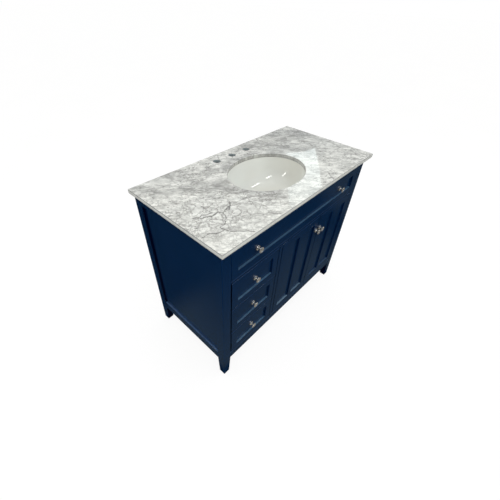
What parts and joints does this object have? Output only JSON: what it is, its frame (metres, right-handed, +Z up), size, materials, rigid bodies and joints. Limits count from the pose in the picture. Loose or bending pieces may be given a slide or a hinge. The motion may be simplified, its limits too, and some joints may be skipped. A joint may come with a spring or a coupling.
{
  "type": "bathroom vanity cabinet",
  "caption": "Freestanding bathroom vanity on tapered legs: marble top with undermount oval bowl and faucet holes, drawer stack on the left, pair of inset doors on the right.",
  "frame": {"origin": "on the floor under the middle of the marble top", "axes": "+X along the width to the right, +Y from the front to the wall, +Z up"},
  "size_m": [1.067, 0.546, 0.89],
  "materials": {
    "navy_paint": "dark navy gloss paint on solid wood",
    "marble": "polished white marble with grey veins",
    "ceramic": "gloss white glaze",
    "nickel": "polished nickel plate",
    "zinc_steel": "zinc plated sheet steel",
    "maple": "clear satin lacquer",
    "birch_ply": "clear matt lacquer on plywood"
  },
  "bodies": {
    "cabinet": {"back_panel": "birch_ply", "back_top_rail": "birch_ply", "false_front": "navy_paint", "false_front_knob_left": "nickel", "false_front_knob_right": "nickel", "floor_panel": "birch_ply", "front_bottom_rail": "navy_paint", "front_divider": "navy_paint", "front_mid_rail": "navy_paint", "front_top_rail": "navy_paint", "hinge_left_bottom": "zinc_steel", "hinge_left_top": "zinc_steel", "hinge_right_bottom": "zinc_steel", "hinge_right_top": "zinc_steel", "marble_top": "marble", "partition": "birch_ply", "post_back_left": "navy_paint", "post_back_right": "navy_paint", "post_front_left": "navy_paint", "post_front_right": "navy_paint", "side_bottom_rail_left": "navy_paint", "side_bottom_rail_right": "navy_paint", "side_panel_left": "navy_paint", "side_panel_right": "navy_paint", "side_top_rail_left": "navy_paint", "side_top_rail_right": "navy_paint", "sink_bowl": "ceramic", "sink_clip_back": "zinc_steel", "sink_clip_front": "zinc_steel", "sink_clip_left": "zinc_steel", "sink_clip_right": "zinc_steel", "slide_rail_bottom_left": "zinc_steel", "slide_rail_bottom_right": "zinc_steel", "slide_rail_middle_left": "zinc_steel", "slide_rail_middle_right": "zinc_steel", "slide_rail_top_left": "zinc_steel", "slide_rail_top_right": "zinc_steel"},
    "drawer_top": {"drawer_front_top": "navy_paint", "drawer_box_top": "maple", "drawer_bottom_top": "birch_ply", "drawer_knob_top": "nickel", "slide_runner_top_left": "zinc_steel", "slide_runner_top_right": "zinc_steel"},
    "drawer_middle": {"drawer_front_middle": "navy_paint", "drawer_box_middle": "maple", "drawer_bottom_middle": "birch_ply", "drawer_knob_middle": "nickel", "slide_runner_middle_left": "zinc_steel", "slide_runner_middle_right": "zinc_steel"},
    "drawer_bottom": {"drawer_front_bottom": "navy_paint", "drawer_box_bottom": "maple", "drawer_bottom_bottom": "birch_ply", "drawer_knob_bottom": "nickel", "slide_runner_bottom_left": "zinc_steel", "slide_runner_bottom_right": "zinc_steel"},
    "door_left": {"door_left": "navy_paint", "door_knob_left": "nickel"},
    "door_right": {"door_right": "navy_paint", "door_knob_right": "nickel"}
  },
  "joints": [
    {"name": "drawer_top_slide", "type": "slide", "parent": "cabinet", "child": "drawer_top", "axis": [0, -1, 0], "range_m": [0, 0.3]},
    {"name": "drawer_middle_slide", "type": "slide", "parent": "cabinet", "child": "drawer_middle", "axis": [0, -1, 0], "range_m": [0, 0.3]},
    {"name": "drawer_bottom_slide", "type": "slide", "parent": "cabinet", "child": "drawer_bottom", "axis": [0, -1, 0], "range_m": [0, 0.3]},
    {"name": "door_left_hinge", "type": "hinge", "parent": "cabinet", "child": "door_left", "pos_m": [-0.138, -0.242, 0.422], "axis": [0, 0, -1], "range_deg": [0, 90]},
    {"name": "door_right_hinge", "type": "hinge", "parent": "cabinet", "child": "door_right", "pos_m": [0.46, -0.242, 0.422], "axis": [0, 0, 1], "range_deg": [0, 100]}
  ]
}
